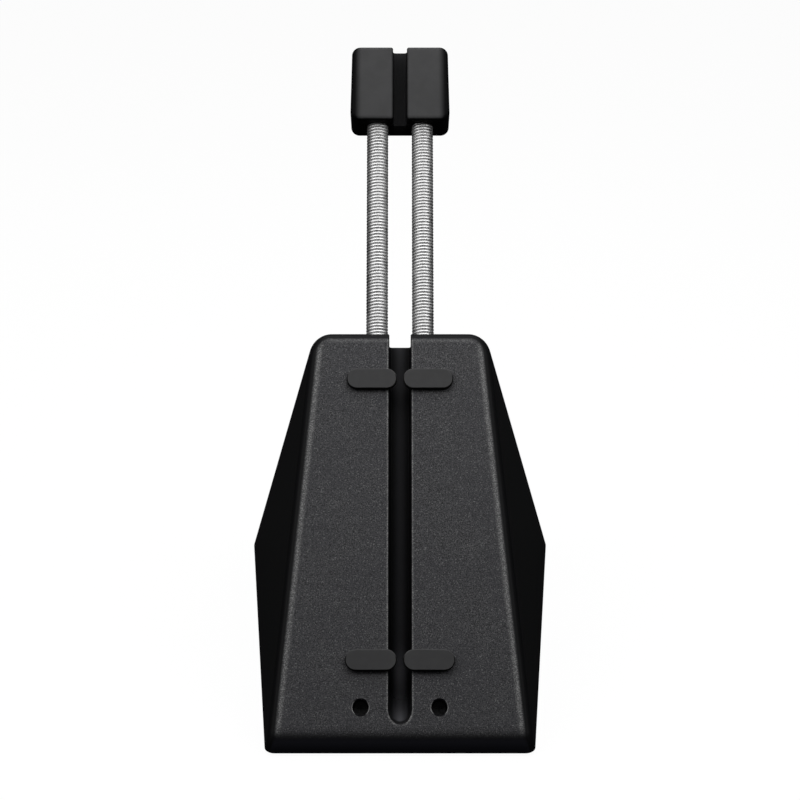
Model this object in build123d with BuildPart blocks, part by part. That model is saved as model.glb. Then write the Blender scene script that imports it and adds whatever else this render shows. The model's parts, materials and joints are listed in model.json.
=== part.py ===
from build123d import *
import os
from math import atan2, cos, degrees, radians, sin, tan

# Wedge housing: the slope with the cable channel faces the back (-Y), the steep face looks to the mouse (+Y)
slope_angle = 48.0
slope_length = 83.3
base_depth = 79.4
back_width = 52.0
front_width = 66.6
ridge_width = 34.9
back_edge_height = 2.5
wall = 2.4
front_corner_radius = 4.2
inner_corner_radius = 0.8
slope_edge_radius = 2.0
back_edge_radius = 5.0

# Cable channel down the slope; its lower end runs out level, so the cable leaves flat over the desk
channel_width = 4.3
channel_depth = 5.6
channel_floor_radius = 0.5
channel_lip_chamfer = 0.2
channel_end = 3.7

# Rubber tabs over the channel
tab_length = 10.05
tab_width = 4.15
tab_thickness = 1.1
tab_edge_chamfer = 0.2
tab_gap = 1.25
tab_stem_length = 5.0
tab_stem_width = 2.2
tab_stem_depth = 1.5
tab_fit = 0.05
upper_tab_below_ridge = 11.3
lower_tab_height = 15.8

# Close-wound springs, parallel to the slope
spring_diameter = 4.5
spring_wire = 0.66
spring_spacing = 9.4
spring_depth = 6.4
spring_free = 45.3
spring_fit = 0.06
spring_in_head = 10.0
spring_grip = 13.0
tail_short = 0.5

# Saddle and clamp bar for the spring tails
saddle_length = 10.0
saddle_width = 26.0
clamp_web = 1.3
clamp_seat = 0.05
clamp_end_gap = 0.2
clamp_screw_spacing = 20.4
clamp_thread_depth = 4.4

# Cable head
head_width_low = 20.8
head_width_high = 20.1
head_height = 16.4
head_depth = 9.8
head_forward = 4.4
head_corner_radius = 1.8
head_near_radius = 0.9
head_far_chamfer = 0.45
slot_width = 2.9
slot_depth = 3.7
slot_floor_radius = 0.6
slot_corner_radius = 0.8

# Rear screws, square to the slope, and the bosses that they pass through
rear_screw_spacing = 15.2
rear_screw_height = 6.8
rear_recess_diameter = 3.0
rear_recess_depth = 3.4
rear_recess_chamfer = 0.25
rear_boss_diameter = 5.4
rear_boss_depth = 4.9
rear_post_diameter = 5.2
rear_thread_depth = 4.0

# Base plate, held by two tongues at the front and the rear screws
plate_fit = 0.15
tongue_width = 8.0
tongue_reach = 1.3
tongue_thickness = 1.2
tongue_spacing = 30.0
tongue_fit = 0.1

# Steel ballast and its countersunk screws
ballast_width = 40.0
ballast_height = 8.0
ballast_chamfer = 0.8
ballast_back_gap = 19.0
ballast_front_gap = 15.2
ballast_screw_inset = 7.0
ballast_thread_depth = 5.0

# Rubber feet
foot_length = 12.0
foot_width = 6.0
foot_recess = 0.8
stand_height = 0.6
foot_fit = 0.05
foot_inset = 4.6
foot_side_gap = 3.0

# Screws
small_shank_diameter = 1.7
small_head_diameter = 2.7
small_head_height = 1.0
large_shank_diameter = 3.0
large_head_diameter = 5.4
large_head_height = 1.5
screw_fit = 0.05
recess_arm = 0.75
recess_blade = 0.16
recess_sink = 0.45

# How near a place an edge lies to be picked there
pick_gap = 0.001

# Places that follow from the sizes above
slope_sin = sin(radians(slope_angle))
slope_cos = cos(radians(slope_angle))
rim_z = stand_height + back_edge_height
head_foot = slope_length + spring_free
head_top = head_foot + head_height
head_near = spring_depth - head_forward
head_far = head_near + head_depth
reach_along = slope_cos * (head_top - head_far_chamfer)
reach_through = slope_sin * head_far
overall_reach = reach_along + reach_through
back_y = -overall_reach / 2
front_y = back_y + base_depth
ridge_y = back_y + slope_length * slope_cos
ridge_z = rim_z + slope_length * slope_sin
front_angle = degrees(atan2(ridge_z - stand_height, front_y - ridge_y))
front_sin = sin(radians(front_angle))
apex_half = (180 - slope_angle - front_angle) / 2
apex_turn = radians(slope_angle + apex_half)
saddle_high = slope_length - spring_grip
saddle_low = saddle_high - saddle_length
saddle_middle = (saddle_low + saddle_high) / 2
spring_low = saddle_low + tail_short
spring_length = head_foot + spring_in_head - spring_low
bore_radius = spring_diameter / 2 + spring_fit
channel_tip_z = rim_z + channel_end * slope_sin
front_rim_y = front_y - back_edge_height / tan(radians(front_angle))
front_inner_y = front_rim_y - wall / front_sin
tongue_root_y = front_inner_y - plate_fit / front_sin
clamp_thickness = bore_radius + clamp_web
clamp_middle = saddle_middle - clamp_end_gap / 2
tab_x = (tab_gap + tab_length) / 2
stem_x = (channel_width + tab_gap + 2 * tab_length) / 4
tab_rows = {"upper": slope_length - upper_tab_below_ridge, "lower": lower_tab_height}
sides = {"left": -1, "right": 1}

ballast_length = base_depth - ballast_back_gap - ballast_front_gap
ballast_y = back_y + ballast_back_gap + ballast_length / 2
ballast_reach = ballast_length / 2 - ballast_screw_inset
ballast_spots = [(0, ballast_y - ballast_reach), (0, ballast_y + ballast_reach)]


def plate_half_width(y):
    """Half the width of the base plate's opening at a place along its depth."""
    share = (y - back_y) / base_depth
    return back_width / 2 + share * (front_width - back_width) / 2 - wall - plate_fit


foot_rows = {
    "back": back_y + wall / slope_sin + foot_inset + foot_width / 2,
    "front": front_inner_y - foot_inset - foot_width / 2,
}
foot_spots = {
    f"foot_{row}_{side}": (sign * (plate_half_width(y) - foot_side_gap - foot_length / 2), y)
    for row, y in foot_rows.items()
    for side, sign in sides.items()
}

slope_plane = Plane(origin=(0, back_y, rim_z), x_dir=(1, 0, 0), z_dir=(0, -slope_sin, slope_cos))


def on_slope(x, up, out):
    """Plane parallel to the slope, x across, up the slope, out of the slope."""
    spot = slope_plane.from_local_coords((x, up, out))
    return Plane(origin=spot, x_dir=(1, 0, 0), z_dir=slope_plane.z_dir)


def into_slope(x, up, out):
    """Plane parallel to the slope that faces into the wedge."""
    spot = slope_plane.from_local_coords((x, up, out))
    return Plane(origin=spot, x_dir=(1, 0, 0), z_dir=-slope_plane.z_dir)


def across_slope(x, up, out):
    """Plane square to the spring axis; its own y runs into the wedge."""
    spot = slope_plane.from_local_coords((x, up, out))
    return Plane(origin=spot, x_dir=(1, 0, 0), z_dir=slope_plane.y_dir)


def slope_place(shape):
    """Centre of an edge or face as across, up the slope, out of the slope."""
    return slope_plane.to_local_coords(shape.center())


def side_plane(side):
    """Plane of one side face, with its normal outwards."""
    back = Vector(side * back_width / 2, back_y, stand_height)
    front = Vector(side * front_width / 2, front_y, stand_height)
    ridge = Vector(side * ridge_width / 2, ridge_y, ridge_z)
    normal = (front - back).cross(ridge - back) * side
    return Plane(origin=back, x_dir=front - back, z_dir=normal)


def wedge_blank(inset):
    """Wedge with every face but the underside moved in by the inset and its front corners rounded."""
    apex_shift = inset / sin(radians(apex_half))
    apex_y = ridge_y - apex_shift * cos(apex_turn)
    apex_z = ridge_z - apex_shift * sin(apex_turn)
    with BuildPart() as blank:
        with BuildSketch(Plane.YZ):
            with BuildLine():
                Polyline(
                    (back_y + inset, stand_height),
                    (front_y - inset / front_sin, stand_height),
                    (apex_y, apex_z),
                    (back_y + inset, rim_z - inset * (1 - slope_sin) / slope_cos),
                    close=True,
                )
            make_face()
        extrude(amount=front_width, both=True)
        for side in sides.values():
            split(bisect_by=side_plane(side).offset(-inset), keep=Keep.BOTTOM)
        front_face = blank.faces().sort_by(Axis.Y)[-1]
        corners = front_face.edges().filter_by(Axis.X, reverse=True)
        fillet(corners, radius=max(front_corner_radius - inset, inner_corner_radius))
    return blank.part


def screw(head_diameter, head_height, shank_diameter, shank_length, flat_head):
    """Cross-recess screw on the Z axis: the seat of its head at z = 0, the shank below it."""
    shank = shank_diameter / 2
    under_head = [] if flat_head else [(head_diameter / 2, 0)]
    with BuildPart() as blank:
        with BuildSketch(Plane.XZ):
            with BuildLine():
                Polyline(
                    (0, head_height),
                    (head_diameter / 2, head_height),
                    *under_head,
                    (shank, 0),
                    (shank, -shank_length),
                    (0, -shank_length),
                    close=True,
                )
            make_face()
        revolve(axis=Axis.Z)
        with BuildSketch(Plane.XY.offset(head_height)):
            Rectangle(2 * recess_arm, 2 * recess_blade)
            Rectangle(2 * recess_blade, 2 * recess_arm)
        extrude(amount=-recess_sink, mode=Mode.SUBTRACT)
    return blank.part


# Trough that the channel needs inside the housing
with BuildPart() as trough:
    with BuildSketch(on_slope(0, slope_length / 2, 0)):
        Rectangle(channel_width + 2 * wall, slope_length * 2)
    extrude(amount=-(channel_depth + wall))
    split(bisect_by=Plane.XY.offset(channel_tip_z - wall), keep=Keep.TOP)

# Space inside the housing, less what stays solid: channel trough, spring block, saddle and rear bosses
with BuildPart() as cavity:
    add(wedge_blank(wall))
    extrude(cavity.faces().sort_by(Axis.Z)[0], amount=stand_height)
    add(trough.part, mode=Mode.SUBTRACT)
    with BuildSketch(on_slope(0, (saddle_high + slope_length) / 2, 0)):
        Rectangle(spring_spacing + spring_diameter + 2 * wall, slope_length - saddle_high)
    extrude(amount=-(spring_depth + spring_diameter / 2 + wall), mode=Mode.SUBTRACT)
    with BuildSketch(on_slope(0, saddle_middle, 0)):
        Rectangle(saddle_width, saddle_length)
    extrude(amount=-spring_depth, mode=Mode.SUBTRACT)
    with BuildSketch(on_slope(0, clamp_middle, -spring_depth)):
        Rectangle(saddle_width, saddle_length + clamp_end_gap)
    extrude(amount=-clamp_thickness)
    for side in sides.values():
        with BuildSketch(on_slope(side * rear_screw_spacing / 2, rear_screw_height, 0)):
            Circle(rear_boss_diameter / 2)
        extrude(amount=-rear_boss_depth, mode=Mode.SUBTRACT)

# Cutter of the channel
with BuildPart() as channel:
    with BuildSketch(across_slope(0, -slope_length / 2, 0)) as channel_section:
        Rectangle(channel_width, 2 * channel_depth)
        floor_corners = channel_section.vertices().sort_by(lambda v: slope_place(v).Z)[:2]
        fillet(floor_corners, channel_floor_radius)
    extrude(amount=2 * slope_length)
    with BuildSketch(Plane.XZ):
        with BuildLine():
            ThreePointArc(
                (-channel_width / 2, channel_tip_z + channel_width / 2),
                (0, channel_tip_z),
                (channel_width / 2, channel_tip_z + channel_width / 2),
            )
            Polyline(
                (channel_width / 2, channel_tip_z + channel_width / 2),
                (channel_width / 2, 2 * ridge_z),
                (-channel_width / 2, 2 * ridge_z),
                (-channel_width / 2, channel_tip_z + channel_width / 2),
            )
        make_face()
    extrude(amount=overall_reach, both=True, mode=Mode.INTERSECT)

with BuildPart() as housing:
    add(wedge_blank(0))
    fillet(housing.faces().sort_by(Axis.Y)[0].edges().sort_by(Axis.Z)[-1], back_edge_radius)
    slope_face = housing.faces().sort_by(lambda f: slope_place(f).Z)[-1]
    back_faces = housing.faces().sort_by(Axis.Y)[:2]
    corner_lines = [edge for face in back_faces for edge in face.edges().filter_by(Axis.X, reverse=True)]
    slope_outline = slope_face.edges().group_by(Axis.Z)[1:]
    fillet(corner_lines + [edge for group in slope_outline for edge in group], slope_edge_radius)
    add(cavity.part, mode=Mode.SUBTRACT)
    add(channel.part, mode=Mode.SUBTRACT)
    lips = housing.edges().filter_by(Axis.X, reverse=True)
    lips = lips.filter_by(lambda e: abs(slope_place(e).Z) < pick_gap)
    lips = lips.filter_by(lambda e: abs(slope_place(e).X) < channel_width / 2 + pick_gap)
    chamfer(lips.filter_by(lambda e: slope_place(e).Y < saddle_high), channel_lip_chamfer)
    for side in sides.values():
        with BuildSketch(across_slope(side * spring_spacing / 2, saddle_low - clamp_end_gap, -spring_depth)):
            Circle(bore_radius)
        extrude(amount=slope_length, mode=Mode.SUBTRACT)
        with BuildSketch(on_slope(side * clamp_screw_spacing / 2, saddle_middle, -spring_depth)):
            Circle(small_shank_diameter / 2 + screw_fit)
        extrude(amount=clamp_thread_depth + screw_fit, mode=Mode.SUBTRACT)
        with BuildSketch(Plane.XY.offset(rim_z - tongue_thickness - tongue_fit)):
            with Locations((side * tongue_spacing / 2, front_inner_y)):
                Rectangle(tongue_width + 2 * tongue_fit, 2 * (tongue_reach + tongue_fit))
        extrude(amount=tongue_thickness + 2 * tongue_fit, mode=Mode.SUBTRACT)
        with BuildSketch(on_slope(side * rear_screw_spacing / 2, rear_screw_height, 0)):
            Circle(rear_recess_diameter / 2)
        extrude(amount=-rear_recess_depth, mode=Mode.SUBTRACT)
        with BuildSketch(on_slope(side * rear_screw_spacing / 2, rear_screw_height, 0)):
            Circle(small_shank_diameter / 2 + screw_fit)
        extrude(amount=-2 * rear_boss_depth, mode=Mode.SUBTRACT)
        for row in tab_rows.values():
            with BuildSketch(on_slope(side * stem_x, row, 0)):
                Rectangle(tab_stem_length + 2 * tab_fit, tab_stem_width + 2 * tab_fit)
            extrude(amount=-(tab_stem_depth + tab_fit), mode=Mode.SUBTRACT)
    mouths = housing.edges().filter_by(GeomType.CIRCLE)
    mouths = mouths.filter_by(lambda e: abs(e.radius - rear_recess_diameter / 2) < pick_gap)
    chamfer(mouths.filter_by(lambda e: abs(slope_place(e).Z) < pick_gap), rear_recess_chamfer)

# Posts of the base plate, cut off parallel to the slope under the rear bosses
post_top = rear_boss_depth + screw_fit
with BuildPart() as posts:
    with BuildSketch(Plane.XY.offset(rim_z - back_edge_height / 2)):
        for side in sides.values():
            thread_middle = -post_top - rear_thread_depth / 2
            post_root = slope_plane.from_local_coords((0, rear_screw_height, thread_middle))
            with Locations((side * rear_screw_spacing / 2, post_root.Y)):
                Circle(rear_post_diameter / 2)
    extrude(amount=rear_screw_height + back_edge_height)
    split(bisect_by=slope_plane.offset(-post_top), keep=Keep.BOTTOM)

with BuildPart() as base_plate:
    add(wedge_blank(wall + plate_fit))
    split(bisect_by=Plane.XY.offset(rim_z), keep=Keep.BOTTOM)
    with BuildSketch(Plane.XY.offset(rim_z)):
        for side in sides.values():
            with Locations((side * tongue_spacing / 2, tongue_root_y)):
                Rectangle(tongue_width, 2 * (tongue_reach + plate_fit))
    extrude(amount=-tongue_thickness)
    add(posts.part)
    for side in sides.values():
        with BuildSketch(on_slope(side * rear_screw_spacing / 2, rear_screw_height, -post_top)):
            Circle(small_shank_diameter / 2 + screw_fit)
        extrude(amount=-(rear_thread_depth + screw_fit), mode=Mode.SUBTRACT)
    with BuildSketch(Plane.XY.offset(stand_height)):
        with Locations(*foot_spots.values()):
            SlotOverall(foot_length + 2 * foot_fit, foot_width + 2 * foot_fit)
    extrude(amount=foot_recess, mode=Mode.SUBTRACT)
    with BuildSketch(Plane.XY.offset(stand_height)):
        with Locations(*ballast_spots):
            Circle(large_shank_diameter / 2 + screw_fit)
    extrude(amount=back_edge_height, mode=Mode.SUBTRACT)
    sinks = base_plate.edges().filter_by(GeomType.CIRCLE)
    sinks = sinks.filter_by(lambda e: abs(e.radius - large_shank_diameter / 2 - screw_fit) < pick_gap)
    sinks = sinks.filter_by(lambda e: abs(e.center().Z - stand_height) < pick_gap)
    sink_width = (large_head_diameter - large_shank_diameter) / 2 + screw_fit
    chamfer(sinks, length=large_head_height + screw_fit, length2=sink_width)

with BuildPart() as ballast:
    with BuildSketch(Plane.XY.offset(rim_z)):
        with Locations((0, ballast_y)):
            Rectangle(ballast_width, ballast_length)
    extrude(amount=ballast_height)
    chamfer(ballast.edges().filter_by(Axis.Z), ballast_chamfer)
    chamfer(ballast.faces().sort_by(Axis.Z)[-1].edges(), ballast_chamfer)
    with BuildSketch(Plane.XY.offset(rim_z)):
        with Locations(*ballast_spots):
            Circle(large_shank_diameter / 2 + screw_fit)
    extrude(amount=ballast_thread_depth + screw_fit, mode=Mode.SUBTRACT)

with BuildPart() as ballast_screws:
    shank_length = back_edge_height - large_head_height + ballast_thread_depth
    blank = screw(large_head_diameter, large_head_height, large_shank_diameter, shank_length, True)
    for spot in ballast_spots:
        seat = Plane(origin=(*spot, stand_height + large_head_height), x_dir=(1, 0, 0), z_dir=(0, 0, -1))
        add(blank.moved(seat.location))

with BuildPart() as rear_screws:
    shank_length = rear_boss_depth - rear_recess_depth + screw_fit + rear_thread_depth
    blank = screw(small_head_diameter, small_head_height, small_shank_diameter, shank_length, False)
    for side in sides.values():
        seat = on_slope(side * rear_screw_spacing / 2, rear_screw_height, -rear_recess_depth)
        add(blank.moved(seat.location))

with BuildPart() as spring_clamp:
    clamp_top = -spring_depth - clamp_seat
    with BuildSketch(on_slope(0, clamp_middle, clamp_top)):
        Rectangle(saddle_width, saddle_length - clamp_end_gap)
    extrude(amount=-clamp_thickness)
    for side in sides.values():
        with BuildSketch(across_slope(side * spring_spacing / 2, saddle_low - wall, -spring_depth)):
            Circle(bore_radius)
        extrude(amount=saddle_length + 2 * wall, mode=Mode.SUBTRACT)
        with BuildSketch(on_slope(side * clamp_screw_spacing / 2, saddle_middle, 0)):
            Circle(small_shank_diameter / 2 + screw_fit)
        extrude(amount=-slope_length / 2, mode=Mode.SUBTRACT)

with BuildPart() as clamp_screws:
    shank_length = clamp_thickness + clamp_seat + clamp_thread_depth
    blank = screw(small_head_diameter, small_head_height, small_shank_diameter, shank_length, False)
    for side in sides.values():
        seat = into_slope(
            side * clamp_screw_spacing / 2,
            saddle_middle,
            clamp_top - clamp_thickness,
        )
        add(blank.moved(seat.location))

with BuildPart() as cable_head:
    with BuildSketch(on_slope(0, head_foot, -head_near)) as head_outline:
        with BuildLine():
            Polyline(
                (-head_width_low / 2, 0),
                (head_width_low / 2, 0),
                (head_width_high / 2, head_height),
                (-head_width_high / 2, head_height),
                close=True,
            )
        make_face()
        fillet(head_outline.vertices(), head_corner_radius)
    extrude(amount=-head_depth)
    fillet(cable_head.faces().sort_by(lambda f: slope_place(f).Z)[-1].edges(), head_near_radius)
    chamfer(cable_head.faces().sort_by(lambda f: slope_place(f).Z)[0].edges(), head_far_chamfer)
    with BuildSketch(across_slope(0, head_foot, -head_near)) as slot_section:
        Rectangle(slot_width, 2 * slot_depth)
        fillet(slot_section.vertices().sort_by(lambda v: slope_place(v).Z)[:2], slot_floor_radius)
    extrude(amount=head_height, mode=Mode.SUBTRACT)
    with BuildSketch(on_slope(0, head_foot + head_height / 2, -head_near)):
        with GridLocations(slot_width + slot_corner_radius, head_height - slot_corner_radius, 2, 2):
            Rectangle(slot_corner_radius, slot_corner_radius)
        with GridLocations(slot_width + 2 * slot_corner_radius, head_height - 2 * slot_corner_radius, 2, 2):
            Circle(slot_corner_radius, mode=Mode.SUBTRACT)
    extrude(amount=-(slot_depth - slot_floor_radius), mode=Mode.SUBTRACT)
    for side in sides.values():
        with BuildSketch(across_slope(side * spring_spacing / 2, head_foot, -spring_depth)):
            Circle(bore_radius)
        extrude(amount=spring_in_head, mode=Mode.SUBTRACT)

pieces = {
    "housing": housing.part,
    "base_plate": base_plate.part,
    "ballast": ballast.part,
    "ballast_screws": ballast_screws.part,
    "rear_screws": rear_screws.part,
    "spring_clamp": spring_clamp.part,
    "clamp_screws": clamp_screws.part,
    "cable_head": cable_head.part,
}

for side_name, side in sides.items():
    with BuildPart() as spring:
        with BuildSketch(across_slope(side * spring_spacing / 2, spring_low, -spring_depth)):
            Circle(spring_diameter / 2)
            Circle(spring_diameter / 2 - spring_wire, mode=Mode.SUBTRACT)
        extrude(amount=spring_length)
    pieces[f"spring_{side_name}"] = spring.part

for row_name, row in tab_rows.items():
    for side_name, side in sides.items():
        with BuildPart() as tab:
            with BuildSketch(on_slope(side * tab_x, row, 0)):
                SlotOverall(tab_length, tab_width)
            extrude(amount=tab_thickness)
            chamfer(tab.faces().sort_by(lambda f: slope_place(f).Z)[-1].edges(), tab_edge_chamfer)
            with BuildSketch(on_slope(side * stem_x, row, 0)):
                Rectangle(tab_stem_length, tab_stem_width)
            extrude(amount=-tab_stem_depth)
        pieces[f"cable_tab_{row_name}_{side_name}"] = tab.part

for foot_name, spot in foot_spots.items():
    with BuildPart() as foot:
        with BuildSketch(Plane.XY):
            with Locations(spot):
                SlotOverall(foot_length, foot_width)
        extrude(amount=stand_height + foot_recess)
    pieces[foot_name] = foot.part

os.makedirs("parts", exist_ok=True)
for name, piece in pieces.items():
    piece.label = name
    export_step(piece, f"parts/{name}.step")
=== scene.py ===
"""Dressed scene of a desk stand that carries a mouse cable on two springs."""

import json
import logging
import math
from dataclasses import dataclass, field, replace
from enum import Enum

import bpy
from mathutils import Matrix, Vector

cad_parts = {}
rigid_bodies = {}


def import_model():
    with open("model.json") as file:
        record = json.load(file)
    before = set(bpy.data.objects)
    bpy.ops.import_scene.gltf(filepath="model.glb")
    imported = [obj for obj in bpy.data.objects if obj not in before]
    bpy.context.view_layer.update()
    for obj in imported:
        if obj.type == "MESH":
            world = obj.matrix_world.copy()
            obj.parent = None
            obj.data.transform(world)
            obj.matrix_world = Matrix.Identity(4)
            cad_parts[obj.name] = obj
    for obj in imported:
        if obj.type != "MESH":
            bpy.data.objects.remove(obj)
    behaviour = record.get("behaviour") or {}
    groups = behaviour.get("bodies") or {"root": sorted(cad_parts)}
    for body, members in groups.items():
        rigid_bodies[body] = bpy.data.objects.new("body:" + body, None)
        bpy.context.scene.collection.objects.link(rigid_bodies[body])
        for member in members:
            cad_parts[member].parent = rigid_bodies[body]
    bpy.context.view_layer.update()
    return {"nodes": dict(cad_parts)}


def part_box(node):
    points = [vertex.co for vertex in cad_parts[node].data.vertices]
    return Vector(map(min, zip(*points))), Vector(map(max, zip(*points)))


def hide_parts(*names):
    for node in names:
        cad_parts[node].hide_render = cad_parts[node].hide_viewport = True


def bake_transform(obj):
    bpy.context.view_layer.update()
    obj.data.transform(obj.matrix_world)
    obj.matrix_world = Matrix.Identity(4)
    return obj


log = logging.getLogger("cable_stand")

MM = 0.001

Socket = bpy.types.NodeSocket
Band = tuple[float, float]
Place = tuple[float, float, float]
Colour = tuple[float, float, float, float]

# Range that most of a noise pattern lies in.
MIDDLE: Band = (0.3, 0.7)


def span(low: float, high: float) -> Band:
    """Return a range in metres that is given in millimetres."""
    return (low * MM, high * MM)


def grey(value: float, blue: float = 1.0) -> Colour:
    """Return an almost neutral colour.

    Args:
        value: Its red and green, linear.
        blue: How much stronger its blue is.

    Returns:
        Colour with alpha.
    """
    return (value, value, value * blue, 1.0)


class Side(Enum):
    """Left and right as the camera sees them."""

    LEFT = -1
    RIGHT = 1


class Reach(Enum):
    """Which length of a spring a coil covers."""

    LOWER = "lower"
    UPPER = "upper"


class NodeSheet:
    """The node tree of a material or a world, with short ways to add and join nodes."""

    def __init__(self, owner: bpy.types.ID, output: str) -> None:
        """Start with nothing but the output.

        Args:
            owner: The material or world.
            output: Blender's name for its output node.
        """
        owner.use_nodes = True
        self.owner = owner
        self.tree = owner.node_tree
        self.tree.nodes.clear()
        self.output = self.add(output)

    @classmethod
    def material(cls, name: str) -> "NodeSheet":
        """Start a new material."""
        return cls(bpy.data.materials.new(name), "ShaderNodeOutputMaterial")

    @classmethod
    def world(cls, name: str) -> "NodeSheet":
        """Start a new world."""
        return cls(bpy.data.worlds.new(name), "ShaderNodeOutputWorld")

    def add(self, kind: str, **settings: object) -> bpy.types.Node:
        """Add a node.

        Args:
            kind: Blender's name for the node type.
            **settings: Properties of the node.

        Returns:
            The new node.
        """
        node = self.tree.nodes.new(kind)
        for key, value in settings.items():
            setattr(node, key, value)
        return node

    def join(self, source: Socket, target: Socket) -> None:
        """Link an output to an input."""
        self.tree.links.new(source, target)

    def feed(self, target: Socket, value: object) -> None:
        """Put a socket's output or a plain value on an input.

        Args:
            target: The input.
            value: An output socket, or a number or colour.
        """
        if isinstance(value, Socket):
            self.join(value, target)
        else:
            target.default_value = value

    def place(self) -> Socket:
        """Return the place of a point in the object, in metres."""
        return self.add("ShaderNodeTexCoord").outputs["Object"]

    def facing(self) -> Socket:
        """Return the direction that a point's surface faces, in the object."""
        return self.add("ShaderNodeTexCoord").outputs["Normal"]

    def split(self, vector: Socket) -> bpy.types.NodeOutputs:
        """Return a vector's parts by the names X, Y and Z.

        Args:
            vector: The vector.

        Returns:
            Its parts.
        """
        node = self.add("ShaderNodeSeparateXYZ")
        self.join(vector, node.inputs[0])
        return node.outputs

    def aside(self, vector: Socket) -> Socket:
        """Return how far a vector reaches to the left or right."""
        return self.math("ABSOLUTE", self.split(vector)["X"])

    def along(self, vector: Socket, direction: Vector) -> Socket:
        """Return a vector's length along a direction.

        Args:
            vector: The vector.
            direction: The direction, of length 1.

        Returns:
            The length.
        """
        node = self.add("ShaderNodeVectorMath", operation="DOT_PRODUCT")
        self.join(vector, node.inputs[0])
        node.inputs[1].default_value = direction
        return node.outputs["Value"]

    def math(self, operation: str, *values: object) -> Socket:
        """Add a sum, product or the like.

        Args:
            operation: Blender's name for the operation.
            *values: Output sockets or numbers.

        Returns:
            The result.
        """
        node = self.add("ShaderNodeMath", operation=operation)
        for socket, value in zip(node.inputs, values):
            self.feed(socket, value)
        return node.outputs[0]

    def both(self, first: object, *others: object) -> Socket:
        """Return the product of masks: 1 where all of them are 1.

        Args:
            first: A mask.
            *others: More masks.

        Returns:
            The product.
        """
        for other in others:
            first = self.math("MULTIPLY", first, other)
        return first

    def reach(self, first: Socket, second: Socket) -> Socket:
        """Return the length of the long side over two square sides.

        Args:
            first: One side.
            second: The other side.

        Returns:
            The length.
        """
        squares = (self.math("MULTIPLY", side, side) for side in (first, second))
        return self.math("SQRT", self.math("ADD", *squares))

    def ramp(self, value: Socket, band: Band, start: float = 0.0, end: float = 1.0) -> Socket:
        """Turn a range of a value into another with soft ends.

        Args:
            value: The value.
            band: Its range.
            start: Result up to the range.
            end: Result past the range.

        Returns:
            The result.
        """
        node = self.add("ShaderNodeMapRange", interpolation_type="SMOOTHSTEP")
        keys = ("Value", "From Min", "From Max", "To Min", "To Max")
        for key, number in zip(keys, (value, *band, start, end)):
            self.feed(node.inputs[key], number)
        return node.outputs["Result"]

    def fade(self, value: Socket, band: Band) -> Socket:
        """Return 1 up to a range of a value and 0 past it."""
        return self.ramp(value, band, 1.0, 0.0)

    def noise(self, size: float, detail: float = 2.0) -> Socket:
        """Add a soft random pattern on the object's own coordinates.

        Args:
            size: Size of its features in metres.
            detail: How much finer detail rides on them.

        Returns:
            The pattern, from 0 to 1.
        """
        node = self.add("ShaderNodeTexNoise")
        self.join(self.place(), node.inputs["Vector"])
        node.inputs["Scale"].default_value = 1.0 / size
        node.inputs["Detail"].default_value = detail
        return node.outputs["Fac"]

    def blend_colours(self, share: object, first: object, second: object) -> Socket:
        """Mix two colours.

        Args:
            share: How much of the second, from 0 to 1.
            first: Colour at 0.
            second: Colour at 1.

        Returns:
            The mixed colour.
        """
        node = self.add("ShaderNodeMix", data_type="RGBA")
        self.feed(node.inputs["Factor"], share)
        self.feed(node.inputs["A"], first)
        self.feed(node.inputs["B"], second)
        return node.outputs["Result"]

    def mottle(
        self, pattern: Socket, band: Band, tone: float, shares: Band, blue: float = 1.0
    ) -> Socket:
        """Return a grey that follows a pattern.

        Args:
            pattern: The pattern.
            band: Its range from the one grey to the other.
            tone: The grey.
            shares: How much of it at the range's start and at its end.
            blue: How much stronger its blue is.

        Returns:
            The colour.
        """
        first, second = (grey(tone * share, blue) for share in shares)
        return self.blend_colours(self.ramp(pattern, band), first, second)

    def bump(self, height: Socket, depth: float, strength: float) -> Socket:
        """Turn a pattern into relief.

        Args:
            height: The pattern.
            depth: Height of the relief in metres.
            strength: How much of it shows.

        Returns:
            The normal to shade with.
        """
        node = self.add("ShaderNodeBump")
        node.inputs["Strength"].default_value = strength
        node.inputs["Distance"].default_value = depth
        self.join(height, node.inputs["Height"])
        return node.outputs["Normal"]

    def shader(self, kind: str, **inputs: object) -> bpy.types.Node:
        """Add a shader.

        Args:
            kind: Blender's name for the node type.
            **inputs: Values for its sockets, with underscores for spaces.

        Returns:
            The shader.
        """
        node = self.add(kind)
        for key, value in inputs.items():
            self.feed(node.inputs[key.replace("_", " ")], value)
        return node

    def close(self, shader: bpy.types.Node) -> bpy.types.ID:
        """Show a shader as the surface.

        Args:
            shader: The shader.

        Returns:
            The finished material or world.
        """
        self.join(shader.outputs[0], self.output.inputs["Surface"])
        return self.owner

    def surface(self, **inputs: object) -> bpy.types.Material:
        """Close the sheet with a principled surface.

        Args:
            **inputs: Values for its sockets, with underscores for spaces.

        Returns:
            The finished material.
        """
        return self.close(self.shader("ShaderNodeBsdfPrincipled", **inputs))


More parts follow.
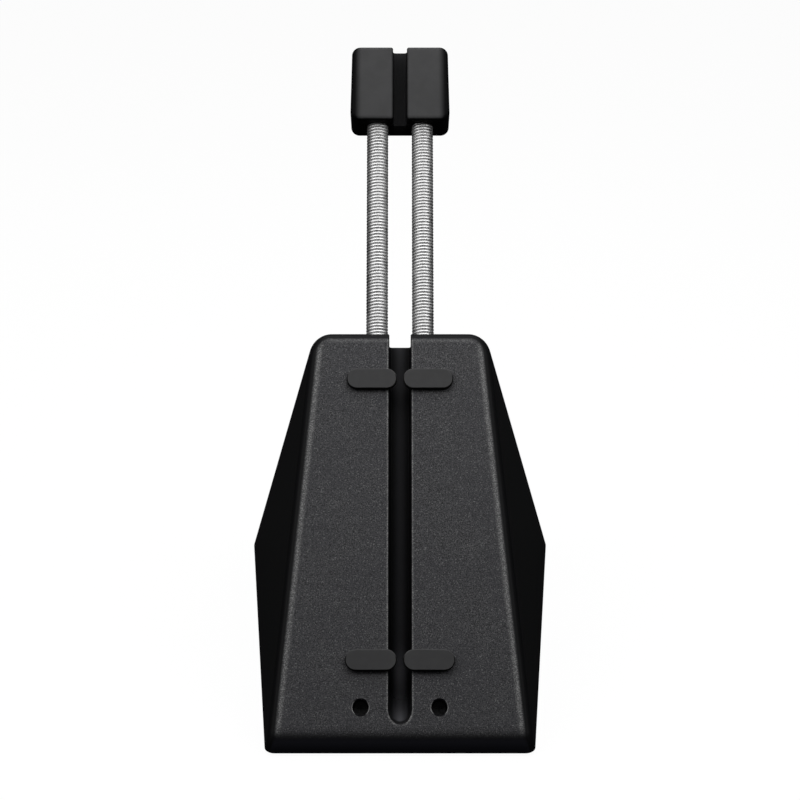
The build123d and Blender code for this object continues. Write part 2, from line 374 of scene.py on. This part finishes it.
@dataclass(frozen=True)
class SlopeGrid:
    """Places on and around the slope: across, up the slope and out of it, in millimetres."""

    back: float
    rim: float = 3.1
    angle: float = 48.0
    length: float = 83.3
    stand: float = 0.6
    depth: float = 79.4
    back_half: float = 26.0
    front_half: float = 33.3
    ridge_half: float = 17.45

    @property
    def outward(self) -> Vector:
        """Return the direction out of the slope."""
        turn = math.radians(self.angle)
        return Vector((0.0, -math.sin(turn), math.cos(turn)))

    @property
    def uphill(self) -> Vector:
        """Return the direction up the slope."""
        turn = math.radians(self.angle)
        return Vector((0.0, math.cos(turn), math.sin(turn)))

    @property
    def side(self) -> tuple[Vector, float]:
        """Return the right side face as its normal and its distance from the origin."""
        back = Vector((self.back_half, self.back, self.stand)) * MM
        front = Vector((self.front_half, self.back + self.depth, self.stand)) * MM
        ridge = self.point(self.ridge_half, self.length, 0.0)
        normal = (front - back).cross(ridge - back).normalized()
        return normal, normal.dot(back)

    def point(self, across: float, up: float, out: float) -> Vector:
        """Return a place in the shared frame.

        Args:
            across: Distance to the right of the middle.
            up: Distance up the slope from its lower edge.
            out: Distance out of the slope.

        Returns:
            The place in metres.
        """
        turn = math.radians(self.angle)
        y = self.back + up * math.cos(turn) - out * math.sin(turn)
        z = self.rim + up * math.sin(turn) + out * math.cos(turn)
        return Vector((across, y, z)) * MM

    def out(self, sheet: NodeSheet) -> Socket:
        """Return how far a point of a material lies out of the slope, in metres."""
        level = self.point(0.0, 0.0, 0.0).dot(self.outward)
        return sheet.math("SUBTRACT", sheet.along(sheet.place(), self.outward), level)

    def up(self, sheet: NodeSheet) -> Socket:
        """Return how far a point of a material lies up the slope, in metres."""
        level = self.point(0.0, 0.0, 0.0).dot(self.uphill)
        return sheet.math("SUBTRACT", sheet.along(sheet.place(), self.uphill), level)

    def gap(self, sheet: NodeSheet) -> Socket:
        """Return how far a point of a material lies inside the nearer side face, in metres.

        Args:
            sheet: Material to add the nodes to.

        Returns:
            The distance.
        """
        normal, level = self.side
        place = sheet.place()
        flat = sheet.along(place, Vector((0.0, normal.y, normal.z)))
        reach = sheet.math("MULTIPLY_ADD", sheet.aside(place), normal.x, flat)
        return sheet.math("SUBTRACT", level, reach)


@dataclass(frozen=True)
class GrainedPlastic:
    """Black plastic of the housing.

    The slope and the steep face have a fine grain with pale sparks. The sides, the foot, the
    channel and the holes are smooth, and their darker tone is partly painted shade; the grained
    faces carry painted highlights on their edges. Tones are linear greys. Each band is the range of
    a pattern, of a part of the surface's direction or of a place over which a mask rises or fades.
    """

    grid: SlopeGrid
    name: str = "housing_grained_plastic"

    # Tones, and how much stronger their blue is.
    face: float = 0.055
    # Painted highlight: pale tone on the slope's rims, the brow and the channel's lips.
    edge_highlight: float = 0.11
    # Pale sparks of the grain; the same tone also paints glints along the rims and highlights on
    # the holes' rims.
    spark_and_highlight: float = 0.24
    # Painted light in the channel: its floor's pale middle strip, paler lower down and on its level
    # end.
    floor: float = 0.034
    low_floor: float = 0.085
    end: float = 0.05
    # Dark tones of the foot and of the smooth faces: partly their smooth finish, partly painted
    # shade.
    foot: float = 0.011
    smooth: float = 0.005
    face_blue: float = 1.05
    cloud_blue: float = 1.12
    smooth_blue: float = 1.1
    foot_blue: float = 1.3

    # Gloss, and the roughness that the grain varies and adds to.
    gloss: float = 0.05
    roughness: Band = (0.32, 0.4)
    rough_band: Band = (0.2, 0.8)
    grain_roughness: float = 0.04

    # Patterns: the grain, wide clouds over it and the speckle that gives sparks of the grain and
    # painted glints.
    grain_size: float = 0.2 * MM
    grain_depth: float = 0.03 * MM
    grain_strength: float = 0.6
    grain_band: Band = (0.35, 0.65)
    grain_shares: Band = (0.5, 1.5)
    cloud_size: float = 8.0 * MM
    cloud_share: float = 0.3
    cloud_tone: float = 0.8
    speckle_size: float = 0.22 * MM
    spark_band: Band = (0.6, 0.72)
    spark_share: float = 0.55
    glint_band: Band = (0.46, 0.64)
    # How much of the painted highlight lies on the rims.
    edge_highlight_share: float = 0.6

    # Directions: turned aside, up, over the crest, to the front, level and to the back, used to
    # place the painted light and shade.
    aside_band: Band = (0.0, 0.36)
    upward_band: Band = (0.4, 0.66)
    crest_band: Band = (-0.69, -0.35)
    front_band: Band = (0.8, 0.9)
    level_band: Band = (0.75, 0.95)
    back_band: Band = (-0.95, -0.82)

    # Places on the slope: above the foot, where painted shade fades in, near its surface, flush
    # with it, and at its rims and brow, where highlights are painted.
    foot_band: Band = span(2.9, 5.8)
    near_band: Band = span(-0.7, -0.3)
    flush_band: Band = span(-0.08, -0.03)
    margin_band: Band = span(1.7, 2.6)
    brow_band: Band = span(79.4, 80.1)
    brow_highlight_share: float = 0.38

    # The channel: its half width, the centre of its round end, its lips with a painted highlight,
    # and its floor with a painted pale middle strip that grows paler lower down.
    channel_half: float = 2.35 * MM
    channel_tip: float = 8.0 * MM
    lip_band: Band = span(0.08, 0.45)
    tip_band: Band = span(0.3, 1.6)
    tip_share: float = 0.35
    lit_strip_band: Band = span(0.0, 1.8)
    low_band: Band = span(12.0, 21.0)

    # The holes: their place, radius, chamfered rim and its left and right, where highlights are
    # painted.
    hole_across: float = 7.6 * MM
    hole_up: float = 6.8 * MM
    hole_radius: float = 1.75 * MM
    rim_inner: Band = span(-0.2, -0.08)
    rim_outer: Band = span(0.1, 0.2)
    chamfer_band: Band = span(-0.3, -0.2)
    cheek_band: Band = span(0.9, 1.5)

    def grained(self, sheet: NodeSheet) -> Socket:
        """Return 1 on the slope and the steep face, fading over the crest, the foot and the
        turned-aside rims into the darker smooth tone, which is partly painted shade.

        Args:
            sheet: Material to add the nodes to.

        Returns:
            The mask.
        """
        normal = sheet.split(sheet.facing())
        inward = sheet.fade(sheet.aside(sheet.facing()), self.aside_band)
        upward = sheet.ramp(normal["Z"], self.upward_band)
        # Painted shade: the grained tone gives way over the crest.
        crest = sheet.fade(normal["Y"], self.crest_band)
        # Painted shade: the grained tone fades towards the foot.
        foot = sheet.ramp(sheet.split(sheet.place())["Z"], self.foot_band)
        near = sheet.ramp(self.grid.out(sheet), self.near_band)
        slope = sheet.both(upward, crest, foot, near)
        steep = sheet.ramp(normal["Y"], self.front_band)
        return sheet.both(inward, sheet.math("MAXIMUM", slope, steep))

    def edges(self, sheet: NodeSheet) -> Socket:
        """Return 1 where highlights are painted: on the slope's rims and along the channel's lips,
        and less at the brow.

        Args:
            sheet: Material to add the nodes to.

        Returns:
            The mask.
        """
        across = sheet.aside(sheet.place())
        height = sheet.split(sheet.place())["Z"]
        out = self.grid.out(sheet)
        # Painted highlights: along the slope's rims, weaker at the brow, and as a thin line on the
        # channel's lips.
        margin = sheet.fade(self.grid.gap(sheet), self.margin_band)
        brow = sheet.ramp(self.grid.up(sheet), self.brow_band, 0.0, self.brow_highlight_share)
        near = sheet.ramp(out, self.near_band)
        rims = sheet.both(sheet.math("MAXIMUM", margin, brow), near)
        below = sheet.math("MINIMUM", sheet.math("SUBTRACT", height, self.channel_tip), 0.0)
        mouth = sheet.math("SUBTRACT", sheet.reach(across, below), self.channel_half)
        tip = sheet.ramp(across, self.tip_band, self.tip_share)
        lips = sheet.both(tip, sheet.fade(mouth, self.lip_band))
        flush = sheet.ramp(out, self.flush_band)
        return sheet.math("MAXIMUM", rims, sheet.both(lips, flush))

    def hole_rim_highlights(self, sheet: NodeSheet) -> Socket:
        """Return 1 on the left and right of the holes' chamfered rims, where highlights are
        painted.

        Args:
            sheet: Material to add the nodes to.

        Returns:
            The mask.
        """
        beside = sheet.math("SUBTRACT", sheet.aside(sheet.place()), self.hole_across)
        above = sheet.math("SUBTRACT", self.grid.up(sheet), self.hole_up)
        rim = sheet.math("SUBTRACT", sheet.reach(beside, above), self.hole_radius)
        ring = sheet.both(sheet.ramp(rim, self.rim_inner), sheet.fade(rim, self.rim_outer))
        sides = sheet.ramp(sheet.math("ABSOLUTE", beside), self.cheek_band)
        return sheet.both(ring, sides, sheet.ramp(self.grid.out(sheet), self.chamfer_band))

    def skin(self, sheet: NodeSheet, edges: Socket, fine: Socket) -> Socket:
        """Return the colour of the grained faces, with pale sparks of the grain and, along the
        edges, a painted highlight strewn with painted glints.

        Args:
            sheet: Material to add the nodes to.
            edges: Mask of the edges where a highlight is painted.
            fine: Pattern of the grain.

        Returns:
            The colour.
        """
        cloud = sheet.ramp(sheet.noise(self.cloud_size), MIDDLE, 0.0, self.cloud_share)
        speckle = sheet.noise(self.speckle_size, detail=1.0)
        sparks = sheet.ramp(speckle, self.spark_band, 0.0, self.spark_share)
        # Painted glints: pale specks crowded along the edges.
        glints = sheet.both(edges, sheet.ramp(speckle, self.glint_band))
        grain = sheet.mottle(fine, self.grain_band, self.face, self.grain_shares, self.face_blue)
        dull = grey(self.face * self.cloud_tone, self.cloud_blue)
        mottled = sheet.blend_colours(cloud, grain, dull)
        # Painted highlight along the rims, the brow and the channel's lips.
        highlighted = sheet.blend_colours(sheet.both(edges, self.edge_highlight_share), mottled, grey(self.edge_highlight))
        return sheet.blend_colours(sheet.math("MAXIMUM", sparks, glints), highlighted, grey(self.spark_and_highlight))

    def polish(self, sheet: NodeSheet) -> Socket:
        """Return the colour of the smooth faces.

        Their dark tone is partly painted shade. The channel's floor carries a painted pale strip in
        its middle, paler still towards its lower end and on its level end, and the holes' rims
        carry painted highlights.

        Args:
            sheet: Material to add the nodes to.

        Returns:
            The colour.
        """
        normal = sheet.split(sheet.facing())
        upward = sheet.ramp(normal["Z"], self.upward_band)
        sunk = sheet.fade(self.grid.out(sheet), self.near_band)
        middle = sheet.fade(sheet.aside(sheet.place()), self.lit_strip_band)
        low = sheet.fade(self.grid.up(sheet), self.low_band)
        level = sheet.ramp(normal["Z"], self.level_band)
        upright = sheet.fade(normal["Y"], self.back_band)
        smooth, floor, low_floor, end = (
            grey(tone, self.smooth_blue)
            for tone in (self.smooth, self.floor, self.low_floor, self.end)
        )
        # Painted highlights on the left and right of the holes' rims.
        highlighted = sheet.blend_colours(self.hole_rim_highlights(sheet), smooth, grey(self.spark_and_highlight))
        # Painted shade: faces that look back at the foot get their own dark tone.
        plain = sheet.blend_colours(upright, highlighted, grey(self.foot, self.foot_blue))
        # Painted light: the channel's floor is pale in its middle strip, paler lower down and on
        # its level end.
        run = sheet.blend_colours(low, floor, low_floor)
        channel = sheet.blend_colours(level, run, end)
        return sheet.blend_colours(sheet.both(upward, sunk, middle), plain, channel)

    def build(self) -> bpy.types.Material:
        """Return the finish as a material."""
        sheet = NodeSheet.material(self.name)
        grained = self.grained(sheet)
        fine = sheet.noise(self.grain_size)
        edges = sheet.both(self.edges(sheet), grained)
        added = sheet.both(grained, self.grain_roughness)
        varied = sheet.ramp(fine, self.rough_band, *self.roughness)
        return sheet.surface(
            Base_Color=sheet.blend_colours(
                grained, self.polish(sheet), self.skin(sheet, edges, fine)
            ),
            Roughness=sheet.math("ADD", added, varied),
            Specular_IOR_Level=self.gloss,
            Normal=sheet.bump(sheet.both(fine, grained), self.grain_depth, self.grain_strength),
        )


@dataclass(frozen=True)
class SatinPlastic:
    """Smooth moulded plastic with a faint cloud in its tone and roughness."""

    name: str
    colour: float
    gloss: float = 0.5
    roughness: Band = (0.45, 0.55)
    rough_band: Band = (0.25, 0.75)
    blue: float = 1.02
    cloud_size: float = 4.0 * MM
    cloud_detail: float = 3.0
    cloud_shares: Band = (0.94, 1.06)
    fine_size: float = 0.12 * MM
    fine_depth: float = 0.004 * MM
    fine_strength: float = 0.25

    def tint(self, sheet: NodeSheet, cloud: Socket) -> Socket:
        """Return the colour."""
        return sheet.mottle(cloud, MIDDLE, self.colour, self.cloud_shares, self.blue)

    def matt(self, sheet: NodeSheet, cloud: Socket) -> Socket:
        """Return the roughness."""
        return sheet.ramp(cloud, self.rough_band, *self.roughness)

    def build(self) -> bpy.types.Material:
        """Return the finish as a material."""
        sheet = NodeSheet.material(self.name)
        cloud = sheet.noise(self.cloud_size, self.cloud_detail)
        fine = sheet.noise(self.fine_size)
        return sheet.surface(
            Base_Color=self.tint(sheet, cloud),
            Roughness=self.matt(sheet, cloud),
            Specular_IOR_Level=self.gloss,
            Normal=sheet.bump(fine, self.fine_depth, self.fine_strength),
        )


@dataclass(frozen=True)
class HeadPlastic(SatinPlastic):
    """Black plastic of the head.

    Its back, top and front faces are satin. Its edges, sides, underside and slot are smooth and in
    a near-black tone that is painted shade.
    Bands are as in GrainedPlastic.
    """

    name: str = "head_satin_plastic"
    colour: float = 0.051
    gloss: float = 0.015
    roughness: Band = (0.34, 0.4)
    fine_size: float = 0.16 * MM
    grid: SlopeGrid = field(kw_only=True)
    satin_roughness: float = 0.15
    # Painted shade: near black off the satin faces, dim on the slot's floor.
    smooth: float = 0.003
    slot: float = 0.016
    smooth_blue: float = 1.05

    # Directions: turned aside, up and to the front; sides and underside beyond them get painted
    # shade.
    aside_band: Band = (0.02, 0.4)
    upward_band: Band = (-0.2, 0.3)
    front_band: Band = (0.3, 0.6)

    # Places: the side edges, the slot's lips and walls, and the back face; the edges and the slot
    # get painted shade.
    inset_band: Band = span(7.9, 9.6)
    lip_band: Band = span(1.4, 1.9)
    wall_band: Band = span(1.3, 1.4)
    back_band: Band = span(-3.1, -2.6)

    def satin(self, sheet: NodeSheet) -> Socket:
        """Return 1 on the satin faces and 0 on the smooth edges, sides and underside and in the
        slot, where shade is painted.

        Args:
            sheet: Material to add the nodes to.

        Returns:
            The mask.
        """
        normal = sheet.split(sheet.facing())
        across = sheet.aside(sheet.place())
        turned = sheet.fade(sheet.aside(sheet.facing()), self.aside_band)
        inset = sheet.fade(across, self.inset_band)
        lips = sheet.ramp(across, self.lip_band)
        upward = sheet.ramp(normal["Z"], self.upward_band)
        raised = sheet.ramp(self.grid.out(sheet), self.back_band)
        forward = sheet.ramp(normal["Y"], self.front_band)
        faces = sheet.math("MAXIMUM", sheet.both(upward, raised, lips), forward)
        return sheet.both(turned, inset, faces)

    def tint(self, sheet: NodeSheet, cloud: Socket) -> Socket:
        """Return the colour, with painted shade off the satin faces: near black, and dim within the
        slot's width.

        Args:
            sheet: Material to add the nodes to.
            cloud: Pattern of the cloud.

        Returns:
            The colour.
        """
        inside = sheet.fade(sheet.aside(sheet.place()), self.wall_band)
        smooth, slot = (grey(tone, self.smooth_blue) for tone in (self.smooth, self.slot))
        # Painted shade: dim within the slot's width, near black beyond it.
        plain = sheet.blend_colours(inside, smooth, slot)
        return sheet.blend_colours(self.satin(sheet), plain, super().tint(sheet, cloud))

    def matt(self, sheet: NodeSheet, cloud: Socket) -> Socket:
        """Return the roughness, higher on the satin faces."""
        added = sheet.both(self.satin(sheet), self.satin_roughness)
        return sheet.math("ADD", added, super().matt(sheet, cloud))


@dataclass(frozen=True)
class SoftRubber:
    """Matt rubber with a dusty, slightly uneven skin."""

    name: str
    colour: float
    gloss: float = 0.5
    roughness: Band = (0.62, 0.74)
    blue: float = 1.02
    dust_size: float = 1.6 * MM
    dust_detail: float = 4.0
    dust_band: Band = (0.35, 0.75)
    dust_shares: Band = (1.0, 1.12)
    fine_size: float = 0.1 * MM
    fine_depth: float = 0.006 * MM
    fine_strength: float = 0.3

    def tint(self, sheet: NodeSheet, dust: Socket) -> Socket:
        """Return the colour, paler where dust lies."""
        return sheet.mottle(dust, self.dust_band, self.colour, self.dust_shares, self.blue)

    def build(self) -> bpy.types.Material:
        """Return the finish as a material."""
        sheet = NodeSheet.material(self.name)
        dust = sheet.noise(self.dust_size, self.dust_detail)
        fine = sheet.noise(self.fine_size)
        return sheet.surface(
            Base_Color=self.tint(sheet, dust),
            Roughness=sheet.ramp(dust, MIDDLE, *self.roughness),
            Specular_IOR_Level=self.gloss,
            Normal=sheet.bump(fine, self.fine_depth, self.fine_strength),
        )


@dataclass(frozen=True)
class TabRubber(SoftRubber):
    """Rubber of the cable tabs, whose cut walls that don't face up the slope are painted near black
    as shade.
    """

    grid: SlopeGrid = field(kw_only=True)
    painted_wall_shade: float = 0.002
    outward_band: Band = (0.9, 0.985)
    uphill_band: Band = (0.1, 0.4)

    def tint(self, sheet: NodeSheet, dust: Socket) -> Socket:
        """Return the colour, with painted shade, near black, on the walls that don't face up the
        slope.

        Args:
            sheet: Material to add the nodes to.
            dust: Pattern of the dust.

        Returns:
            The colour.
        """
        turned = sheet.fade(sheet.along(sheet.facing(), self.grid.outward), self.outward_band)
        shaded = sheet.fade(sheet.along(sheet.facing(), self.grid.uphill), self.uphill_band)
        # Painted shade on the walls that don't face up the slope.
        walls = sheet.both(turned, shaded)
        return sheet.blend_colours(walls, super().tint(sheet, dust), grey(self.painted_wall_shade))


@dataclass(frozen=True)
class DrawnWire:
    """Bright spring wire with fine drawing marks."""

    name: str = "spring_drawn_wire"
    colour: float = 0.72
    glancing: float = 0.05
    roughness: Band = (0.41, 0.51)
    mark_size: float = 0.09 * MM
    mark_shares: Band = (0.88, 1.0)
    cloud_size: float = 2.5 * MM

    def build(self) -> bpy.types.Material:
        """Return the finish as a material."""
        sheet = NodeSheet.material(self.name)
        marks = sheet.noise(self.mark_size)
        cloud = sheet.noise(self.cloud_size)
        return sheet.surface(
            Base_Color=sheet.mottle(marks, MIDDLE, self.colour, self.mark_shares),
            Metallic=1.0,
            Roughness=sheet.ramp(cloud, MIDDLE, *self.roughness),
            Specular_Tint=grey(self.glancing),
        )


@dataclass(frozen=True)
class PlainSteel:
    """Blackened or cast steel of the hidden hardware."""

    name: str
    colour: float
    roughness: Band
    pit_size: float
    pit_detail: float = 4.0
    pit_shares: Band = (0.8, 1.0)
    pit_depth: float = 0.1
    pit_strength: float = 0.3
    blue: float = 1.03

    def build(self) -> bpy.types.Material:
        """Return the finish as a material."""
        sheet = NodeSheet.material(self.name)
        pits = sheet.noise(self.pit_size, self.pit_detail)
        return sheet.surface(
            Base_Color=sheet.mottle(pits, MIDDLE, self.colour, self.pit_shares, self.blue),
            Metallic=1.0,
            Roughness=sheet.ramp(pits, MIDDLE, *self.roughness),
            Normal=sheet.bump(pits, self.pit_size * self.pit_depth, self.pit_strength),
        )


class Bench:
    """Keeps the operators on the piece at hand."""

    @staticmethod
    def clear_start() -> None:
        """Remove what a new file starts with."""
        bpy.ops.object.select_all(action="SELECT")
        bpy.ops.object.delete()

    @staticmethod
    def pick(piece: bpy.types.Object) -> None:
        """Make a piece the only selected one."""
        bpy.ops.object.select_all(action="DESELECT")
        piece.select_set(True)
        bpy.context.view_layer.objects.active = piece

    @staticmethod
    def settle(piece: bpy.types.Object) -> None:
        """Put a piece's place, turn and scale into its mesh."""
        Bench.pick(piece)
        bpy.ops.object.transform_apply(location=True, rotation=True, scale=True)

    @staticmethod
    def dress(piece: bpy.types.Object, finish: bpy.types.Material) -> None:
        """Give a piece one finish all over."""
        piece.data.materials.clear()
        piece.data.materials.append(finish)


@dataclass
class SpringPair:
    """The two close-wound springs, each as a lower and an upper coil of round wire.

    Lengths are in millimetres; low, high, mouth and head_foot are places up the slope.
    """

    grid: SlopeGrid
    diameter: float = 4.5
    wire: float = 0.66
    spacing: float = 9.4
    depth: float = 6.4
    low: float = 60.8
    high: float = 138.6
    mouth: float = 79.92
    head_foot: float = 128.6
    turns: int = 117
    lower_turns: int = 65
    wire_sides: int = 12
    turn_steps: int = 36
    smooth_angle: float = 50.0
    finish: DrawnWire = field(default_factory=DrawnWire)

    @property
    def pitch(self) -> float:
        """Return the rise of one turn."""
        return (self.high - self.low - self.wire) / self.turns

    @property
    def first(self) -> float:
        """Return where the wire's centre starts up the slope."""
        return self.low + self.wire / 2

    @property
    def split(self) -> float:
        """Return where the lower coil passes into the upper one."""
        return self.first + self.lower_turns * self.pitch

    def on_axis(self, side: Side, up: float) -> Vector:
        """Return a place on a spring's axis, in metres."""
        return self.grid.point(side.value * self.spacing / 2, up, -self.depth)

    def section(self, name: str) -> bpy.types.Object:
        """Lay out the wire's round section beside the axis that it is wound around.

        Args:
            name: Name of the coil that it becomes.

        Returns:
            The section.
        """
        bpy.ops.object.select_all(action="DESELECT")
        bpy.ops.mesh.primitive_circle_add(
            vertices=self.wire_sides,
            radius=self.wire / 2 * MM,
            location=((self.diameter - self.wire) / 2 * MM, 0.0, 0.0),
            rotation=(math.radians(90.0), 0.0, 0.0),
        )
        piece = bpy.context.object
        piece.name = name
        Bench.settle(piece)
        return piece

    def wind(self, piece: bpy.types.Object, turns: int) -> None:
        """Wind a section into a coil with closed ends.

        Args:
            piece: The section.
            turns: How many times it goes around.
        """
        winding = piece.modifiers.new("winding", "SCREW")
        winding.axis = "Z"
        winding.angle = math.tau
        winding.screw_offset = self.pitch * MM
        winding.iterations = turns
        winding.steps = self.turn_steps
        winding.render_steps = self.turn_steps
        winding.use_merge_vertices = False
        bpy.ops.object.modifier_apply(modifier=winding.name)
        bpy.ops.object.mode_set(mode="EDIT")
        bpy.ops.mesh.select_all(action="SELECT")
        bpy.ops.mesh.fill_holes(sides=0)
        bpy.ops.mesh.select_all(action="SELECT")
        bpy.ops.mesh.normals_make_consistent(inside=False)
        bpy.ops.object.mode_set(mode="OBJECT")
        bpy.ops.object.shade_smooth_by_angle(angle=math.radians(self.smooth_angle))

    def coil(self, side: Side, reach: Reach) -> bpy.types.Object:
        """Make one coil.

        Args:
            side: Which spring.
            reach: Which length of it.

        Returns:
            The coil in its place.
        """
        lower = reach is Reach.LOWER
        start = self.first if lower else self.split
        turns = self.lower_turns if lower else self.turns - self.lower_turns
        piece = self.section(f"spring_{side.name.lower()}_{reach.value}_coil")
        self.wind(piece, turns)
        piece.rotation_euler = (math.radians(self.grid.angle - 90.0), 0.0, 0.0)
        piece.location = self.on_axis(side, start)
        Bench.settle(piece)
        return piece

    def build(self) -> None:
        """Wind, dress and hang both springs."""
        wire = self.finish.build()
        for side in Side:
            mouth, split, foot = (
                self.on_axis(side, up) for up in (self.mouth, self.split, self.head_foot)
            )
            for reach in Reach:
                piece = self.coil(side, reach)
                Bench.dress(piece, wire)
                if reach is Reach.LOWER:
                    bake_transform(piece)
                else:
                    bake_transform(piece)
                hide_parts(f"spring_{side.name.lower()}")
                log.info("%s: %d faces", piece.name, len(piece.data.polygons))


@dataclass
class MouldedParts:
    """The pieces that keep their solid's shape and only get a finish."""

    nodes: dict[str, bpy.types.Object]
    grid: SlopeGrid

    def finishes(self) -> dict[str, bpy.types.Material]:
        """Return the finishes by how the names of their nodes start; the first that fits counts."""
        plate = SatinPlastic("plate_plain_plastic", 0.012).build()
        screws = PlainSteel("screw_blackened_steel", 0.04, (0.37, 0.53), 0.2 * MM).build()
        return {
            "housing": GrainedPlastic(self.grid).build(),
            "cable_head": HeadPlastic(grid=self.grid).build(),
            "base_plate": plate,
            "spring_clamp": plate,
            "cable_tab": TabRubber("tab_soft_rubber", 0.045, 0.12, grid=self.grid).build(),
            "foot": SoftRubber("foot_soft_rubber", 0.022, 0.3).build(),
            "rear_screws": screws,
            "clamp_screws": screws,
            "ballast_screws": screws,
            "ballast": PlainSteel("ballast_cast_steel", 0.26, (0.42, 0.58), 0.6 * MM).build(),
        }

    def build(self) -> None:
        """Dress every solid that stays in view."""
        finishes = self.finishes()
        for name, piece in self.nodes.items():
            start = next((key for key in finishes if name.startswith(key)), None)
            if start is None:
                log.info("%s is left to new pieces", name)
                continue
            Bench.dress(piece, finishes[start])
            log.info("%s wears %s", name, finishes[start].name)


@dataclass(frozen=True)
class SoftBox:
    """A soft lamp.

    Attributes:
        name: Its name.
        place: Where it hangs, in millimetres.
        target: What it points at, in millimetres.
        size: Its width and height in millimetres.
        power: Its power in watts.
    """

    name: str
    place: Place
    target: Place
    size: Band
    power: float

    def on(self, side: Side) -> "SoftBox":
        """Return the same box for one side."""
        across, depth, height = self.place
        name = f"{self.name}_{side.name.lower()}"
        return replace(self, name=name, place=(side.value * across, depth, height))

    def hang(self) -> None:
        """Put the lamp into the scene."""
        data = bpy.data.lights.new(self.name, "AREA")
        data.shape = "RECTANGLE"
        data.size, data.size_y = (length * MM for length in self.size)
        data.energy = self.power
        lamp = bpy.data.objects.new(self.name, data)
        bpy.context.scene.collection.objects.link(lamp)
        place, target = Vector(self.place), Vector(self.target)
        lamp.location = place * MM
        lamp.rotation_euler = (target - place).to_track_quat("-Z", "Y").to_euler()


@dataclass
class Studio:
    """Pale floor, soft light and the camera at the photograph's angle.

    Lengths are in millimetres. Floor and surround are white to the camera; mirrors see a small
    share of that white, and the light that they give off is weak.
    """

    aim: Place = (0.0, -7.38, 53.49)
    distance: float = 400.0
    elevation: float = 28.0
    lens: float = 90.0
    sensor: float = 36.0
    clip: Band = (10.0, 20000.0)
    floor_size: float = 6000.0
    floor_drop: float = 0.05
    floor_tones: Band = (0.008, 0.8)
    floor_glow: float = 0.94
    floor_mirrored: float = 0.006
    sky_light: float = 0.032
    sky_mirrored: float = 0.032
    white: float = 1.02
    overhead: SoftBox = SoftBox(
        "box_overhead", (0.0, 20.0, 260.0), (0.0, -10.0, 0.0), (320.0, 320.0), 0.62
    )
    front: SoftBox = SoftBox(
        "box_front", (0.0, 320.0, 400.0), (0.0, 20.0, 50.0), (300.0, 200.0), 0.25
    )
    beside: SoftBox = SoftBox(
        "box", (340.0, -120.0, 340.0), (0.0, -10.0, 60.0), (240.0, 360.0), 0.7
    )

    @staticmethod
    def seen(sheet: NodeSheet, mirrored: float) -> Socket:
        """Return 1 for rays that show the background itself.

        Args:
            sheet: Material or world to add the nodes to.
            mirrored: Result for rays that show it in a mirror.

        Returns:
            The mask.
        """
        path = sheet.add("ShaderNodeLightPath")
        glossy = sheet.math("MULTIPLY", path.outputs["Is Glossy Ray"], mirrored)
        seen = sheet.math("MAXIMUM", path.outputs["Is Camera Ray"], glossy)
        return sheet.math("MAXIMUM", seen, path.outputs["Is Transmission Ray"])

    def paper(self) -> bpy.types.Material:
        """Return the floor's finish as a material."""
        sheet = NodeSheet.material("floor_white_paper")
        seen = self.seen(sheet, self.floor_mirrored)
        tone = sheet.blend_colours(seen, *(grey(value) for value in self.floor_tones))
        matt = sheet.shader("ShaderNodeBsdfDiffuse", Color=tone)
        glow = sheet.shader("ShaderNodeEmission", Color=grey(1.0), Strength=self.white)
        mix = sheet.add("ShaderNodeMixShader")
        share = sheet.math("MULTIPLY", seen, self.floor_glow)
        for socket, source in zip(mix.inputs, (share, matt.outputs[0], glow.outputs[0])):
            sheet.join(source, socket)
        return sheet.close(mix)

    def floor(self) -> None:
        """Lay the floor: white to the eye, with a faint shadow."""
        bpy.ops.object.select_all(action="DESELECT")
        bpy.ops.mesh.primitive_plane_add(
            size=self.floor_size * MM, location=(0.0, 0.0, -self.floor_drop * MM)
        )
        piece = bpy.context.object
        piece.name = "floor"
        Bench.settle(piece)
        Bench.dress(piece, self.paper())

    def sky(self) -> None:
        """Surround the stand with white that lights it only a little."""
        sheet = NodeSheet.world("white_surround")
        level = sheet.add("ShaderNodeMapRange")
        sheet.feed(level.inputs["Value"], self.seen(sheet, self.sky_mirrored))
        sheet.feed(level.inputs["To Min"], self.sky_light)
        sheet.feed(level.inputs["To Max"], self.white)
        strength = level.outputs["Result"]
        backdrop = sheet.shader("ShaderNodeBackground", Color=grey(1.0), Strength=strength)
        bpy.context.scene.world = sheet.close(backdrop)

    def lamps(self) -> None:
        """Hang a box overhead, a weak one in front and one on each side."""
        for box in (self.overhead, self.front, *(self.beside.on(side) for side in Side)):
            box.hang()

    def camera(self) -> None:
        """Set the camera at the photograph's angle."""
        data = bpy.data.cameras.new("camera")
        data.lens = self.lens
        data.sensor_width = self.sensor
        data.clip_start, data.clip_end = (length * MM for length in self.clip)
        camera = bpy.data.objects.new("camera", data)
        bpy.context.scene.collection.objects.link(camera)
        turn = math.radians(self.elevation)
        back = Vector((0.0, -math.cos(turn), math.sin(turn)))
        camera.location = (Vector(self.aim) + back * self.distance) * MM
        camera.rotation_euler = (-back).to_track_quat("-Z", "Y").to_euler()
        bpy.context.scene.camera = camera

    def build(self) -> None:
        """Set up floor, surround, lamps and camera."""
        bpy.context.scene.view_settings.view_transform = "Standard"
        self.floor()
        self.sky()
        self.lamps()
        self.camera()


def main() -> None:
    """Build the dressed stand and its studio."""
    logging.basicConfig(level=logging.INFO, format="%(message)s")
    Bench.clear_start()
    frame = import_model()
    grid = SlopeGrid(back=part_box("housing")[0].y / MM)
    MouldedParts(frame["nodes"], grid).build()
    SpringPair(grid).build()
    Studio().build()


if __name__ == "__main__":
    main()
